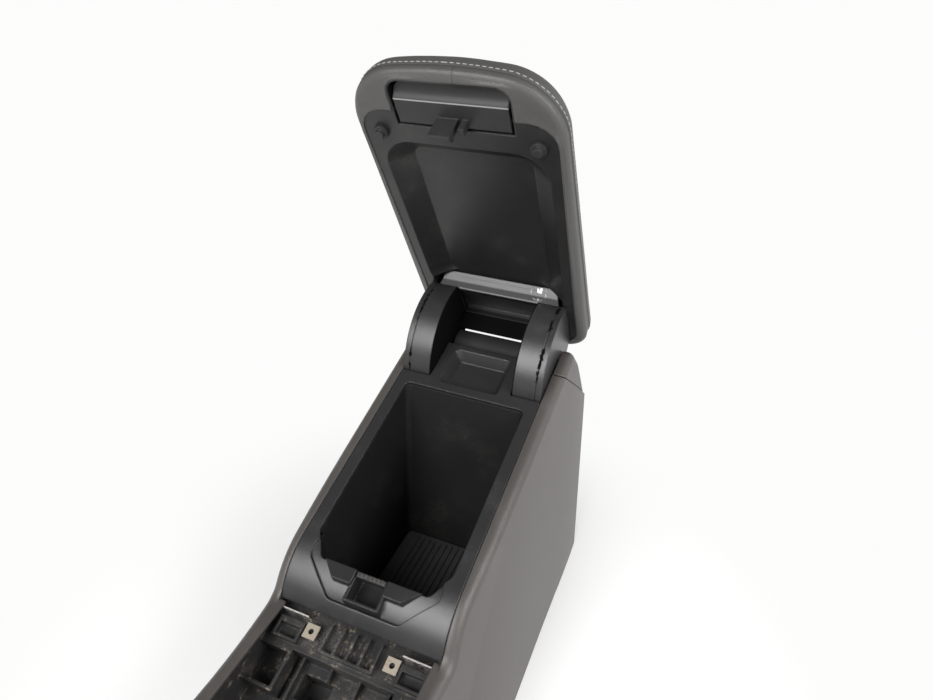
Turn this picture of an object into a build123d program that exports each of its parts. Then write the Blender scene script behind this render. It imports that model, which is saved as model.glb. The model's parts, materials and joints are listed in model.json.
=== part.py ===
from build123d import *
import os
from math import asin, atan2, cos, degrees, radians, sin, sqrt

# Centre console with an armrest lid, drawn with the lid standing open. Millimetres, +Z up, +Y to the rear.
# The origin is the centre of the four floor fixings, on the floor.
# Deck coordinates run across, rearwards and up from the middle of the bin's rear edge.

# Stance: the deck slopes down to the front above the floor that the lower edges stand on
deck_slope = 16.5
deck_height = 243.0
deck_setback = 145.0

# Deck, apron and bin opening
cover_half = 76.4
cover_wall = 2.5
bend_lead = 14.0
bend_radius = 65.0
apron_angle = 51.7
skirt_depth = 9.0
skirt_setback = 7.0
bin_half = 65.0
bin_front = 199.0
bin_chamfer_across = 13.0
bin_chamfer_along = 22.0
bin_corner = 6.0

# Tongue between the arm slots, with the coin tray
tongue_half = 44.5
tongue_rear = 64.0
slot_front = 14.0
slot_corner = 2.0
tray_half = 32.0
tray_front = 10.0
tray_rear = 57.0
tray_depth = 12.0
tray_taper = 30.0

# Latch recess in the apron, with two raised pads and the keeper's slot
recess_depth = 2.5
recess_half = 62.0
recess_lead = 1.0
recess_foot_half = 34.0
recess_length = 26.0
recess_start = 2.0
recess_corner = 9.0
pad_inner = 15.0
pad_outer = 46.0
pad_length = 13.0
pad_top = 1.0
pad_depth = 12.5
latch_slot_half = 14.0
latch_slot_length = 23.0
latch_slot_depth = 26.0
keeper_gap = 0.5
keeper_bar = 4.0
keeper_drop = 3.0
keeper_rib = 1.2
keeper_rib_count = 6

# Bin under the deck, with a floor that lies level
liner_wall = 2.5
liner_flange = 7.0
liner_room = 1.0
bin_floor_height = 66.0
bin_floor_half = 50.0
bin_floor_rear = 40.0
bin_floor_lead = 6.0
mat_thickness = 3.0
mat_margin = 1.5
mat_groove = 1.2
mat_groove_count = 11
liner_screw_radius = 1.6
liner_head_radius = 2.2
liner_head = 2.0
screw_end = 1.0
liner_screw_x = 70.0
liner_screw_v = (20, 90, 150)

# Side panels
panel_wall = 3.0
panel_inner = 77.0
panel_gap = 0.5
shoulder_radius = 9.0
front_reach = 455.0
flange_inner = 71.0
flange_setback = 2.0
kink_radius = 16.0
seam_top = 52.0
seam_foot = 114.0
seam_foot_depth = 98.0
rear_foot = 76.0
section_top = 320.0
panel_side_wall = 4.5
panel_boss_radius = 5.0
panel_screw_radius = 2.0
panel_screw_grip = 6.0
panel_head_radius = 4.0
panel_head = 2.5
panel_screw_places = ((-255, 80), (-70, 80), (125, 60))

# Rear cover
cap_crest = 90.0
cap_rear = 103.0
cap_rear_depth = 30.0
cap_radius = 16.0
cap_bend = 30.0
cap_tip_depth = 92.0
cap_overlap = 80.0
barrel_radius = 20.5
barrel_lip = 10.0
arm_notch_depth = 36.0

# Hinge
hinge_back = 86.0
hinge_drop = 28.0
lid_open = 78.0
pin_radius = 4.0
running_clearance = 0.05
pin_half = 72.0
ear_inner = 34.0
ear_wall = 3.0
hub_radius = 10.5
bracket_base_drop = 24.0
bracket_half_length = 13.0
bracket_screw_x = 24.0
bracket_screw_v = 7.0
bracket_screw_radius = 2.5
bracket_screw_length = 12.0
bracket_head_radius = 4.5
bracket_head = 3.0
bush_radius = 6.0
bush_flange = 1.2
bush_flange_radius = 8.5
washer_radius = 9.0
washer_thickness = 1.4
ring_radius = 7.0
ring_thickness = 1.2
fit_gap = 0.3

# Curved arm covers and the steel arms inside them
arm_radius = 75.0
arm_wall = 2.5
arm_inner = 45.5
arm_gap = 1.3
arm_rear = 78.0
arm_seam = 69.5
arm_outer = 76.0
arm_tail_angle = 254.0
steel_arm_inner = 57.0
steel_arm_wall = 3.5
steel_foot_inner = 50.0
steel_foot_front = 26.0
steel_foot_rear = 70.0
steel_foot_top = 23.0
steel_hub_radius = 7.5
arm_screw_x = 53.5
arm_screw_v = (34, 62)
arm_screw_radius = 2.5
arm_head_radius = 3.2
arm_head = 2.5
pocket_roof = 20.0
pocket_lip = 14.0
lip_rear = 69.5
facet_low_v = 22.0
facet_high_v = 12.0
facet_high_w = 21.2
facet_half_low = 69.0
facet_half_high = 62.0

# Lid, drawn shut in deck coordinates
rim_height = 7.0
pan_floor = 23.0
panel_sheet = 2.5
pad_height = 43.0
pad_front_height = 36.0
lid_half = 95.0
lid_front_half = 89.0
lid_front_margin = 11.0
lid_front_bow = 11.0
lid_rear = 97.0
lid_front_corner = 52.0
lid_rear_corner = 30.0
lid_crown_radius = 18.0
lid_hem_radius = 5.0
lid_wrap = 10.0
core_inset = 8.0
core_wall = 2.5
core_top = 28.8
soft_gap = 0.3
pan_half = 74.0
pan_floor_half = 55.0
pan_setback = 18.0
pan_corner = 30.0
well_front = 9.0
well_rear = 81.0
well_half = 72.0
inner_lead = 14.0
inner_rear = 88.0
inner_corner = 24.0
bumper_half = 68.0
bumper_setback = 9.0
bumper_radius = 6.5
bumper_tip_radius = 4.2
bumper_hole = 3.0

# Latch lever in its tub
tub_half = 50.0
tub_lead = 1.0
tub_length = 41.0
tub_corner = 12.0
tub_roof = 25.0
lever_side_gap = 2.5
lever_front_gap = 4.0
lever_rear_gap = 2.0
scoop_length = 12.0
lever_sheet = 3.0
lever_recess = 0.5
scoop_rise = 5.0
lug_width = 8.0
pivot_lead = 6.0
lever_pivot_height = 15.0
lever_boss_radius = 4.5
latch_pin_radius = 2.0
hook_left = 13.0
hook_right = 5.0
prong_left = 8.0
prong_right = 13.0
keeper_clear = 0.8
hook_depth = 13.0
hook_wall = 6.0
hook_barb = 3.0
spring_sheet = 0.6
spring_half = 6.0
spring_seat = 4.0
spring_lift = 0.8
spring_bend = 2.0
spring_reach = 3.0

# Carrier frame
carrier_inner = 79.0
carrier_wall = 3.0
ledge_wall = 3.0
ledge_inner = 71.0
cross_wall_height = 90.0
shelf_top = -35.0
shelf_gap = 2.0
shelf_back = 10.0
shelf_length = 30.0
socket_inner = 46.0
socket_outer = 70.0
socket_setback = 9.0
socket_length = 17.0
socket_height = 7.0
socket_wall = 2.5
pocket_inner = 48.0
pocket_length = 34.0
pocket_depth = 28.0
beam_setback = 2.0
beam_length = 22.0
beam_wall = 2.5
beam_height = 6.0
beam_pitch = 12.0
beam_rib_count = 5
nut_x = 38.5
nut_setback = 13.0
nut_boss_radius = 5.5
nut_boss_height = 4.0
nut_hole = 2.4
nut_size = 12.0
nut_sheet = 1.5
clip_inner = 45.0
clip_outer = 70.5
clip_setback = 3.5
clip_sheet = 1.2
clip_height = 10.0
clip_gap_half = 5.0
foot_wall = 4.0
foot_length = 44.0
fixing_spacing_x = 110.0
fixing_spacing_y = 330.0
fixing_radius = 3.5
pedestal_half = 40.0
pedestal_front = 70.0
pedestal_rear = 96.0
lower_drop = 22.0
lower_length = 70.0
lower_rib = 2.5
lower_rib_height = 9.0
lower_rib_pitch = 27.0
lower_rib_count = 4
window_inner = 6.0
window_outer = 40.0
window_setback = 6.0
window_length = 26.0
window_depth = 24.0

# Reach of cuts past a face, and of cutting blocks below and above the deck
over = 1.0
below = 80.0
above = 20.0

# Places in front of the bin's rear edge, each from its neighbour's
bend_start = bin_front - bend_lead
apron_reach = bend_start + bend_radius * sin(radians(apron_angle))
recess_shoulder = bin_front + recess_lead
recess_foot = recess_shoulder + recess_length
latch_slot_front = bin_front + latch_slot_length
bin_floor_front = bin_front + bin_floor_lead
tub_rear = bin_front + tub_lead
tub_front = tub_rear + tub_length
lever_half = tub_half - lever_side_gap
lever_front = tub_front - lever_front_gap
lever_rear = tub_rear + lever_rear_gap
lever_ridge = lever_front - scoop_length
lever_pivot = lever_rear + pivot_lead
lid_front = tub_front + lid_front_margin
inner_front = tub_rear + inner_lead
bumper_place = tub_rear - bumper_setback
pan_front = tub_rear - pan_setback
shelf_rear = apron_reach + shelf_gap
shelf_front = shelf_rear + shelf_length
socket_rear = shelf_rear + socket_setback
socket_front = socket_rear + socket_length
pocket_front = shelf_front + pocket_length
beam_rear = shelf_rear + beam_setback
beam_front = beam_rear + beam_length
nut_v = shelf_rear + nut_setback
clip_rear = shelf_rear + clip_setback

slope = radians(deck_slope)
deck = Plane((0, deck_setback, deck_height), x_dir=(1, 0, 0), z_dir=(0, -sin(slope), cos(slope)))
lean = radians(deck_slope - lid_open)
hinge_point = deck.from_local_coords((0, hinge_back, -hinge_drop))
turned = Plane(hinge_point, x_dir=(1, 0, 0), z_dir=(0, -sin(lean), cos(lean)))
lid = Plane(turned.from_local_coords((0, -hinge_back, hinge_drop)), x_dir=(1, 0, 0), z_dir=turned.z_dir)


def across(frame, x):
    """Side view plane at x: its first axis runs rearwards along the frame, its second upwards."""
    return Plane(frame.from_local_coords((x, 0, 0)), x_dir=frame.y_dir, z_dir=(1, 0, 0))


def deck_yz(v, w):
    """Height and length on the floor's frame of a point given on the deck's."""
    point = deck.from_local_coords((0, v, w))
    return (point.Y, point.Z)


def apron_drop(v):
    """How far the apron's surface lies below the deck, v in front of the bin's rear edge."""
    run = max(v - bend_start, 0)
    return bend_radius - sqrt(bend_radius**2 - run**2)


def deck_sheet(half, rear, top, bottom):
    """Sheet that follows the deck and the apron, between two depths below their surface."""
    centre = (-bend_start, -bend_radius)
    with BuildPart() as sheet:
        with BuildSketch(across(deck, -half)):
            with BuildLine():
                Line((rear, -top), (-bend_start, -top))
                upper = CenterArc(centre, bend_radius - top, 90, apron_angle)
                lower = CenterArc(centre, bend_radius - bottom, 90, apron_angle)
                Line(upper @ 1, lower @ 1)
                Line((-bend_start, -bottom), (rear, -bottom))
                Line((rear, -bottom), (rear, -top))
            make_face()
        extrude(amount=2 * half)
    return sheet.part


def plan_prism(frame, points, low, high, corner=0):
    """Prism over a plan outline on a frame, between two heights, with its corners rounded."""
    with BuildPart() as prism:
        with BuildSketch(frame.offset(low)) as plan:
            with BuildLine():
                Polyline(*points, close=True)
            make_face()
            if corner:
                fillet(plan.vertices(), corner)
        extrude(amount=high - low)
    return prism.part


def side_prism(frame, points, low, high):
    """Prism over a side outline on a frame, between two places across it."""
    with BuildPart() as prism:
        with BuildSketch(across(frame, low)):
            with BuildLine():
                Polyline(*points, close=True)
            make_face()
        extrude(amount=high - low)
    return prism.part


def rods(frame, places, axis_dir, radius, length, head_radius=0, head_height=0):
    """Group of round rods with flat heads; each stands on its place and points along axis_dir."""
    group = []
    for place in places:
        seat = Plane(frame.from_local_coords(place), z_dir=axis_dir)
        with BuildPart() as rod:
            with BuildSketch(seat):
                Circle(radius)
            extrude(amount=length)
            if head_height:
                with BuildSketch(seat):
                    Circle(head_radius)
                extrude(amount=-head_height)
        group.append(rod.part)
    return Compound(children=group)


def mirrored(points):
    """A right-hand outline with its left-hand half."""
    return list(points) + [(-x, v) for x, v in reversed(points)]


# Bin opening outline, shared by the cover and the liner
def bin_outline(grow):
    return mirrored(
        [
            (bin_half + grow, grow),
            (bin_half + grow, -bin_front + bin_chamfer_along),
            (bin_half - bin_chamfer_across + grow, -bin_front - grow),
        ]
    )


# Recess outline in the apron
def recess_outline(grow):
    return mirrored(
        [
            (recess_half + grow, -bend_start + recess_start + grow),
            (recess_half + grow, -recess_shoulder),
            (recess_foot_half + grow, -recess_foot - grow),
        ]
    )


liner_screw_places = [
    (side * liner_screw_x, -v, -cover_wall - liner_wall) for side in (-1, 1) for v in liner_screw_v
]


# Top cover: deck, apron, recess, pads, latch slot, tray and arm slots
recess_floor = deck_sheet(cover_half - cover_wall, 0, recess_depth, recess_depth + cover_wall)
recess_floor = recess_floor & plan_prism(deck, recess_outline(cover_wall), -below, above, recess_corner + cover_wall)
skirt = deck_sheet(cover_half, slot_front - skirt_setback, cover_wall, cover_wall + skirt_depth)
skirt_strip = mirrored([(cover_half - cover_wall, slot_front), (cover_half - cover_wall, -apron_reach)])
skirt = skirt - plan_prism(deck, skirt_strip, -below, above)
with BuildPart() as top_cover:
    add(deck_sheet(cover_half, tongue_rear, 0, cover_wall))
    add(plan_prism(deck, recess_outline(0), -below, above, recess_corner), mode=Mode.SUBTRACT)
    add(recess_floor)
    add(skirt)
    for side in (-1, 1):
        pad_plan = [
            (side * pad_inner, -bin_front),
            (side * pad_outer, -bin_front),
            (side * (pad_outer - pad_length), -bin_front - pad_length),
            (side * pad_inner, -bin_front - pad_length),
        ]
        add(plan_prism(deck, pad_plan, -pad_depth, -pad_top))
    add(plan_prism(deck, bin_outline(0), -below, above, bin_corner), mode=Mode.SUBTRACT)
    slot_wall = latch_slot_half + cover_wall
    box_plan = mirrored([(slot_wall, -bin_front), (slot_wall, -latch_slot_front - cover_wall)])
    add(plan_prism(deck, box_plan, -latch_slot_depth, -recess_depth - cover_wall))
    well_plan = mirrored([(latch_slot_half, -bin_front + over), (latch_slot_half, -latch_slot_front)])
    add(plan_prism(deck, well_plan, -latch_slot_depth + cover_wall, above), mode=Mode.SUBTRACT)
    for side in (-1, 1):
        with BuildSketch(deck.offset(above)) as arm_slot:
            with BuildLine():
                Polyline(
                    (side * tongue_half, tongue_rear + over),
                    (side * tongue_half, slot_front),
                    (side * (cover_half + over), slot_front),
                    (side * (cover_half + over), tongue_rear + over),
                    close=True,
                )
            make_face()
            fillet(arm_slot.vertices().sort_by_distance((side * tongue_half, slot_front, 0))[0], slot_corner)
        extrude(amount=-below, mode=Mode.SUBTRACT)
    tray_length = tray_rear - tray_front
    tray_middle = (tray_front + tray_rear) / 2
    with BuildSketch(deck):
        with Locations((0, tray_middle)):
            RectangleRounded(2 * (tray_half + cover_wall), tray_length + 2 * cover_wall, 2 * cover_wall)
    extrude(amount=-tray_depth - cover_wall, taper=tray_taper)
    with BuildSketch(deck):
        with Locations((0, tray_middle)):
            RectangleRounded(2 * tray_half, tray_length, 2 * cover_wall)
    extrude(amount=-tray_depth, taper=tray_taper, mode=Mode.SUBTRACT)
    screw_room = liner_wall + cover_wall - screw_end + fit_gap
    add(rods(deck, liner_screw_places, deck.z_dir, liner_screw_radius + fit_gap / 3, screw_room), mode=Mode.SUBTRACT)


# Bin liner: a deep tub that hangs from the cover on a flange, its floor level with the car's
def bin_floor_outline(grow):
    front = deck_setback - bin_floor_front
    rear = deck_setback - bin_floor_rear
    return mirrored(
        [
            (bin_floor_half + grow, rear + grow),
            (bin_floor_half + grow, front + bin_chamfer_along),
            (bin_floor_half - bin_chamfer_across + grow, front - grow),
        ]
    )


def bin_loft(grow, top, floor):
    """Drafted tub between the bin opening's outline and the floor's."""
    with BuildPart() as tub:
        with BuildSketch(deck.offset(-top)) as mouth:
            with BuildLine():
                Polyline(*bin_outline(grow), close=True)
            make_face()
            fillet(mouth.vertices(), bin_corner + grow)
        with BuildSketch(Plane.XY.offset(floor)) as foot:
            with BuildLine():
                Polyline(*bin_floor_outline(grow), close=True)
            make_face()
            fillet(foot.vertices(), bin_corner + grow)
        loft(ruled=True)
    return tub.part


# Room in the liner's front for the recess, the pads and the latch slot, each a half width, a rear end and a depth
recess_room = apron_drop(bin_front + liner_flange) + recess_depth + cover_wall + liner_room
front_rooms = (
    (recess_half + 2 * cover_wall, -bend_start + recess_start + 2 * cover_wall, recess_room),
    (pad_outer + fit_gap, -bin_front + liner_wall, pad_depth + fit_gap),
    (latch_slot_half + cover_wall + fit_gap, -bin_front + liner_wall, latch_slot_depth + fit_gap),
)
with BuildPart() as bin_liner:
    add(bin_loft(liner_wall, cover_wall, bin_floor_height - liner_wall))
    flange_corner = bin_corner + liner_flange
    add(plan_prism(deck, bin_outline(liner_flange), -cover_wall - liner_wall, -cover_wall, flange_corner))
    for half, rear, depth in front_rooms:
        add(plan_prism(deck, mirrored([(half, rear), (half, -apron_reach)]), -depth, 0), mode=Mode.SUBTRACT)
    add(bin_loft(0, 0, bin_floor_height), mode=Mode.SUBTRACT)
    hole_radius = liner_screw_radius + fit_gap / 3
    add(rods(deck, liner_screw_places, deck.z_dir, hole_radius, 2 * liner_wall), mode=Mode.SUBTRACT)

with BuildPart() as bin_mat:
    add(
        plan_prism(
            Plane.XY,
            bin_floor_outline(-mat_margin),
            bin_floor_height,
            bin_floor_height + mat_thickness,
            bin_corner - mat_margin,
        )
    )
    groove_pitch = 2 * (bin_floor_half - bin_chamfer_across) / mat_groove_count
    with BuildSketch(Plane.XY.offset(bin_floor_height + mat_thickness)):
        with Locations((0, deck_setback - (bin_floor_front + bin_floor_rear) / 2)):
            with GridLocations(groove_pitch, 1, mat_groove_count, 1):
                Rectangle(mat_groove, bin_floor_front - bin_floor_rear - 6 * mat_margin)
    extrude(amount=-mat_groove, mode=Mode.SUBTRACT)

liner_screws = rods(
    deck,
    liner_screw_places,
    deck.z_dir,
    liner_screw_radius,
    liner_wall + cover_wall - screw_end,
    liner_head_radius,
    liner_head,
)

with BuildPart() as latch_keeper:
    keeper_half = latch_slot_half - fit_gap
    keeper_front = bin_front + keeper_gap + keeper_bar
    keeper_plan = mirrored([(keeper_half, -bin_front - keeper_gap), (keeper_half, -keeper_front)])
    add(plan_prism(deck, keeper_plan, -keeper_drop - keeper_bar, -keeper_drop))
    rib_pitch = 2 * latch_slot_half / (keeper_rib_count + 1)
    with BuildSketch(deck.offset(-keeper_drop)):
        with Locations((0, -keeper_front + keeper_bar / 2)):
            with GridLocations(rib_pitch, 1, keeper_rib_count, 1):
                Rectangle(keeper_rib, keeper_bar)
    extrude(amount=keeper_rib / 2)


# Outside flare: station behind the bin's rear edge, half widths at the floor and the crease, crease height,
# and half width high above
flare = (
    (-470, 101, 99, 8, 69),
    (-330, 104.5, 100.5, 14, 67),
    (-235, 111.5, 97.5, 62, 65),
    (-150, 115.5, 92.5, 157, 72),
    (-60, 115.5, 90.8, 208, 78),
    (20, 116.5, 90.5, 238, 84),
    (80, 116, 91, 252, 86),
    (150, 110, 87, 264, 83),
)


def flare_block(inset):
    """Solid within the console's outside faces, right of its middle plane, drawn in by inset."""
    with BuildPart() as block:
        for station, floor_half, crease_half, crease_height, top_half in flare:
            with BuildSketch(Plane.XZ.offset(-deck_setback - station)):
                with BuildLine():
                    Polyline(
                        (0, 0),
                        (floor_half - inset, 0),
                        (crease_half - inset, crease_height),
                        (top_half - inset, section_top),
                        (0, section_top),
                        close=True,
                    )
                make_face()
        loft()
    return block.part


lip_y, lip_z = deck_yz(-apron_reach, -apron_drop(apron_reach))
bend_y, bend_z = deck_yz(-bend_start, -bend_radius)
front_y = deck_setback - front_reach


def panel_outline(x, inset, bottom):
    """Side panel seen from the side, drawn in by inset: front edge, flange, apron, deck, seam and rear edge."""
    radius = bend_radius - inset
    flange_z = lip_z - inset
    kink_angle = asin((flange_z - bend_z) / radius)
    middle_angle = (kink_angle + radians(90) - slope) / 2
    kink = (bend_y - radius * cos(kink_angle), flange_z)
    middle = (bend_y - radius * cos(middle_angle), bend_z + radius * sin(middle_angle))
    with BuildSketch(Plane.YZ.offset(x)) as outline:
        with BuildLine():
            Polyline((front_y + inset, bottom), (front_y + inset, flange_z), kink)
            ThreePointArc(kink, middle, deck_yz(-bend_start, -inset))
            Polyline(
                deck_yz(-bend_start, -inset),
                deck_yz(seam_top - 1.8 * inset, -inset),
                deck_yz(seam_foot - 1.2 * inset, -seam_foot_depth),
                (deck_setback + rear_foot - 1.1 * inset, bottom),
                (front_y + inset, bottom),
            )
        make_face()
        fillet(outline.vertices().sort_by_distance((*kink, 0))[0], kink_radius + inset)
    return outline.sketch


def panel_block(inset, side_inset, inner):
    """Right side panel's volume, drawn in by inset from its outline and by side_inset from its side."""
    with BuildPart() as block:
        extrude(panel_outline(inner, inset, 0), amount=section_top)
        add(flare_block(side_inset), mode=Mode.INTERSECT)
    return block.part


flange_plan = [
    (flange_inner, front_y),
    (panel_inner + over, front_y),
    (panel_inner + over, lip_y - flange_setback),
    (flange_inner, lip_y - flange_setback),
]
boss_start = carrier_inner + carrier_wall + fit_gap
boss_places = [(boss_start, y, z) for y, z in panel_screw_places]
bosses = rods(Plane.XY, boss_places, (1, 0, 0), panel_boss_radius, section_top) & flare_block(panel_wall / 2)
with BuildPart() as right_side_panel:
    add(panel_block(0, 0, panel_inner))
    flange = right_side_panel.faces().filter_by(Plane.XY).sort_by(Axis.Z)[-1]
    fillet(flange.edges().sort_by(Axis.X)[-1], shoulder_radius)
    add(panel_block(panel_wall, panel_side_wall, panel_inner - over), mode=Mode.SUBTRACT)
    add(plan_prism(Plane.XY, flange_plan, lip_z - panel_wall, lip_z))
    add(bosses)
    bore = panel_screw_radius + running_clearance
    add(rods(Plane.XY, boss_places, (1, 0, 0), bore, panel_screw_grip + over), mode=Mode.SUBTRACT)
left_side_panel = mirror(right_side_panel.part, about=Plane.YZ)

panel_screws = []
for side in (-1, 1):
    screw_places = [(side * carrier_inner, y, z) for y, z in panel_screw_places]
    reach = carrier_wall + fit_gap + panel_screw_grip
    side_group = rods(
        Plane.XY, screw_places, (side, 0, 0), panel_screw_radius, reach, panel_head_radius, panel_head
    )
    panel_screws += side_group.solids()
side_panel_screws = Compound(children=panel_screws)


# Rear cover: cap over the rear of the deck, notched for the arms, a barrel between them and the rear wall
def cap_rear_at(depth):
    """How far behind the bin the cap's rear face lies, at a depth below the deck."""
    return cap_rear + (seam_foot - cap_rear) * (depth - cap_rear_depth) / (seam_foot_depth - cap_rear_depth)


def cap_block(inset, side_inset, seam_shift):
    """Right half of the cap's volume, drawn in from its outline and its side, its front edge along the seam."""
    seam_v = seam_top + (seam_foot - seam_top) * cap_tip_depth / seam_foot_depth
    start = deck_yz(seam_top + seam_shift, -inset)
    crest = deck_yz(cap_crest - inset / 2, -inset)
    rear = deck_yz(cap_rear - inset, -cap_rear_depth)
    foot = deck_yz(cap_rear_at(cap_tip_depth) - inset, -cap_tip_depth)
    tip = deck_yz(seam_v + seam_shift, -cap_tip_depth)
    with BuildPart() as block:
        with BuildSketch(Plane.YZ):
            with BuildLine():
                FilletPolyline(start, crest, rear, foot, radius=[cap_radius - inset, cap_bend - inset])
                Polyline(foot, tip, start)
            make_face()
        extrude(amount=section_top)
        add(flare_block(side_inset), mode=Mode.INTERSECT)
    return block.part


def hinge_cylinder(frame, radius, low, high):
    """Cylinder about the hinge pin between two places across."""
    with BuildPart() as cylinder:
        with BuildSketch(across(frame, low)):
            with Locations((hinge_back, -hinge_drop)):
                Circle(radius)
        extrude(amount=high - low)
    return cylinder.part


def wide_box(inner, outer, low, high):
    """Box across the cap's length, between two places across and two heights."""
    return plan_prism(
        deck, [(inner, slot_front), (outer, slot_front), (outer, 2 * cap_rear), (inner, 2 * cap_rear)], low, high
    )


cap_sharp = cap_block(0, 0, 2 * panel_gap)
cap_roof = cap_sharp.faces().filter_by(deck).sort_by(Axis.Z)[-1]
cap_outer = cap_sharp.fillet(shoulder_radius, [cap_roof.edges().sort_by(Axis.X)[-1]])
barrel_half = arm_inner - arm_gap
barrel = hinge_cylinder(deck, barrel_radius, -barrel_half, barrel_half)
barrel_skin = barrel - hinge_cylinder(deck, barrel_radius - panel_wall, -barrel_half, barrel_half)
barrel_skin = barrel_skin & wide_box(-barrel_half, barrel_half, -hinge_drop + barrel_lip, 0)
barrel_skin = barrel_skin & (cap_outer + mirror(cap_outer, about=Plane.YZ))
wall_half = panel_inner - panel_gap
wall_outline = [
    deck_yz(cap_rear_at(cap_overlap), -cap_overlap),
    deck_yz(seam_foot, -seam_foot_depth),
    (deck_setback + rear_foot, 0),
    (deck_setback + rear_foot - panel_wall, 0),
    deck_yz(seam_foot - panel_wall, -seam_foot_depth),
    deck_yz(cap_rear_at(cap_overlap) - panel_wall, -cap_overlap),
]
plate_outline = [
    deck_yz(0, above),
    deck_yz(2 * cap_rear, above),
    deck_yz(2 * cap_rear, -below),
    deck_yz(0, -below),
]
with BuildPart() as rear_cover:
    add(cap_outer)
    add(cap_block(panel_wall, panel_side_wall, -seam_top), mode=Mode.SUBTRACT)
    mirror(about=Plane.YZ)
    add(plan_prism(Plane.YZ, wall_outline, -wall_half, wall_half))
    plate_inner = panel_inner + panel_gap
    side_plate = plan_prism(Plane.YZ, plate_outline, plate_inner, plate_inner + panel_wall) & cap_outer
    add(side_plate)
    add(mirror(side_plate, about=Plane.YZ))
    notch = wide_box(barrel_half, panel_inner + panel_gap, -arm_notch_depth, above)
    add(notch, mode=Mode.SUBTRACT)
    add(mirror(notch, about=Plane.YZ), mode=Mode.SUBTRACT)
    add(wide_box(-barrel_half, barrel_half, -hinge_drop, above) - barrel, mode=Mode.SUBTRACT)
    add(barrel_skin)

# Carrier frame: side webs, ledges, shelf with sockets and bosses, pockets, floor plates and hinge pedestal
bracket_seat = -hinge_drop - bracket_base_drop
ledge_top = -cover_wall - skirt_depth - fit_gap / 3
web_reach = carrier_inner + carrier_wall / 2
foot_rear = fixing_spacing_y / 2 + foot_length
ledge_plan = [(ledge_inner, 0), (web_reach, 0), (web_reach, -bend_start), (ledge_inner, -bend_start)]
bracket_screw_places = [
    (side * bracket_screw_x, hinge_back + end * bracket_screw_v, bracket_seat + ear_wall)
    for side in (-1, 1)
    for end in (-1, 1)
]
pedestal_outline = [
    deck_yz(pedestal_front, bracket_seat),
    deck_yz(pedestal_rear, bracket_seat),
    (foot_rear, 0),
    (fixing_spacing_y / 2 + foot_length / 3, 0),
]


def shelf_box(inner, outer, rear, front, low, high):
    """Box on the front shelf, right of the middle."""
    return plan_prism(deck, [(inner, -rear), (outer, -rear), (outer, -front), (inner, -front)], low, high)


def floor_plate(front, rear):
    """Floor plate between the webs."""
    return plan_prism(Plane.XY, mirrored([(web_reach, rear), (web_reach, front)]), 0, foot_wall)


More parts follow.
